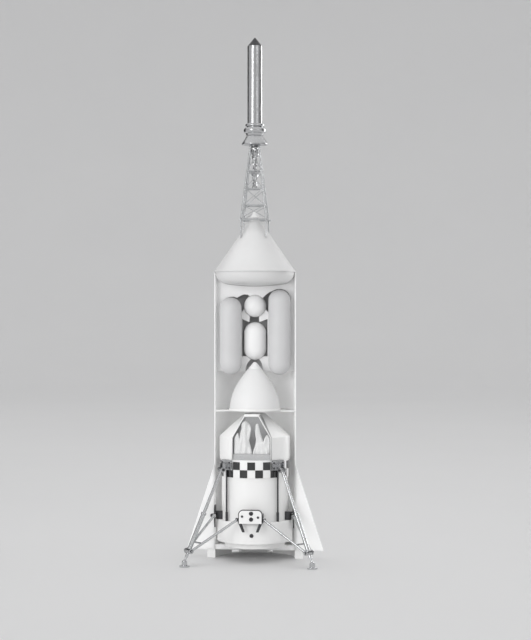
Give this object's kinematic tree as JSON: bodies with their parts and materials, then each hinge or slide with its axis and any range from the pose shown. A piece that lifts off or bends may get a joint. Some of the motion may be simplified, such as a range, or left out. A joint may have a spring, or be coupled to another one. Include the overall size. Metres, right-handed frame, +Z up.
{
  "type": "model rocket",
  "caption": "Desk model of a rocket cut open lengthwise, with an escape tower and capsule on top, tanks and an engine bell inside, and a lander on sprung legs below.",
  "frame": {"origin": "on the rocket's axis, at the level of the table it stands on", "axes": "+Z up along the rocket's axis; -Y towards the viewer, out of the cut face; +X to the viewer's right"},
  "size_m": [0.1374, 0.1356, 0.5203],
  "materials": {
    "white_gloss": "gloss white lacquer",
    "white_satin": "satin white",
    "tank_gray": "satin light grey",
    "shield_gray": "satin light grey",
    "cabin_gray": "satin mid grey",
    "dark_gray": "matt dark grey",
    "black_gloss": "gloss black",
    "dark_tip": "satin dark grey",
    "silver_metal": "satin turned metal",
    "tower_steel": "bright wire",
    "dark_steel": "satin dark metal",
    "chrome": "polished",
    "clear_canopy": "clear"
  },
  "bodies": {
    "rocket": {"hull": "white_gloss", "base_ring": "white_gloss", "floor_plate": "white_gloss", "fin_left": "white_gloss", "fin_right": "white_gloss", "fin_rear": "white_gloss", "deck": "white_gloss", "bell_flange": "white_gloss", "engine_bell": "white_gloss", "lander_pedestal": "white_gloss", "lander_skirt": "white_gloss", "lander_body": "white_gloss", "checker_ring": "white_gloss", "lander_shroud": "white_gloss", "cabin_cap": "white_gloss", "cabin_panel_left": "white_gloss", "cabin_panel_right": "white_gloss", "front_plate": "white_gloss", "tank_web": "white_satin", "tank_ball": "white_satin", "tank_pill": "white_satin", "bell_throat": "white_satin", "tank_left": "tank_gray", "tank_right": "tank_gray", "cabin_floor": "cabin_gray", "recess_panel": "dark_gray", "tank_pegs": "dark_gray", "ring_squares": "black_gloss", "strut_bracket_left": "silver_metal", "strut_bracket_right": "silver_metal", "front_bracket": "dark_steel", "side_bracket_left": "dark_steel", "side_bracket_right": "dark_steel", "bracket_screws": "dark_steel", "guide_rods": "dark_steel", "hinge_pins": "chrome", "cabin_canopy": "clear_canopy"},
    "capsule": {"capsule": "white_gloss", "heat_shield": "shield_gray", "docking_cone": "white_satin"},
    "escape_tower": {"escape_tip": "dark_tip", "escape_motor": "silver_metal", "motor_collar": "silver_metal", "nozzle_skirt": "silver_metal", "tower_head": "silver_metal", "tower_frame": "tower_steel", "tower_collar": "tower_steel", "tower_feet": "tower_steel", "tower_thruster": "silver_metal"},
    "strut_rod_left": {"strut_rod_left": "chrome"},
    "strut_cylinder_left": {"strut_cylinder_left": "chrome", "knee_pin_left": "chrome"},
    "side_frame_left": {"side_frame_left": "chrome"},
    "foot_left": {"foot_pad_left": "chrome"},
    "strut_rod_right": {"strut_rod_right": "chrome"},
    "strut_cylinder_right": {"strut_cylinder_right": "chrome", "knee_pin_right": "chrome"},
    "side_frame_right": {"side_frame_right": "chrome"},
    "foot_right": {"foot_pad_right": "chrome"}
  },
  "joints": [
    {"name": "capsule_lift", "type": "slide", "parent": "rocket", "child": "capsule", "axis": [0, 0, 1], "range_m": [0, 0.03]},
    {"name": "tower_lift", "type": "slide", "parent": "capsule", "child": "escape_tower", "axis": [0, 0, 1], "range_m": [0, 0.02]},
    {"name": "side_frame_left_swing", "type": "hinge", "parent": "rocket", "child": "side_frame_left", "pos_m": [-0.0263, -0.0263, 0.0435], "axis": [-0.7071, 0.7071, 0], "range_deg": [0, 8], "stiffness_Nm_per_rad": 0.06, "springref_deg": -2.86},
    {"name": "strut_left_swing", "type": "hinge", "parent": "rocket", "child": "strut_rod_left", "pos_m": [-0.02998, -0.02998, 0.0912], "axis": [-0.7071, 0.7071, 0], "range_deg": [0, 4.4]},
    {"name": "strut_left_travel", "type": "slide", "parent": "strut_rod_left", "child": "strut_cylinder_left", "axis": [-0.328, -0.328, -0.8859], "range_m": [-0.004, 0]},
    {"name": "foot_left_tilt", "type": "hinge", "parent": "strut_cylinder_left", "child": "foot_left", "pos_m": [-0.06187, -0.06187, 0.00508], "axis": [-0.7071, 0.7071, 0], "range_deg": [-12, 12]},
    {"name": "side_frame_right_swing", "type": "hinge", "parent": "rocket", "child": "side_frame_right", "pos_m": [0.0263, -0.0263, 0.0435], "axis": [-0.7071, -0.7071, 0], "range_deg": [0, 8], "stiffness_Nm_per_rad": 0.06, "springref_deg": -2.86},
    {"name": "strut_right_swing", "type": "hinge", "parent": "rocket", "child": "strut_rod_right", "pos_m": [0.02998, -0.02998, 0.0912], "axis": [-0.7071, -0.7071, 0], "range_deg": [0, 4.4]},
    {"name": "strut_right_travel", "type": "slide", "parent": "strut_rod_right", "child": "strut_cylinder_right", "axis": [0.328, -0.328, -0.8859], "range_m": [-0.004, 0]},
    {"name": "foot_right_tilt", "type": "hinge", "parent": "strut_cylinder_right", "child": "foot_right", "pos_m": [0.06187, -0.06187, 0.00508], "axis": [-0.7071, -0.7071, 0], "range_deg": [-12, 12]}
  ],
  "couplings": [
    {"joint": "strut_left_swing", "follows": "side_frame_left_swing", "ratio": 0.537},
    {"joint": "strut_left_travel", "follows": "side_frame_left_swing", "m_per_rad": -0.028},
    {"joint": "strut_right_swing", "follows": "side_frame_right_swing", "ratio": 0.537},
    {"joint": "strut_right_travel", "follows": "side_frame_right_swing", "m_per_rad": -0.028}
  ]
}
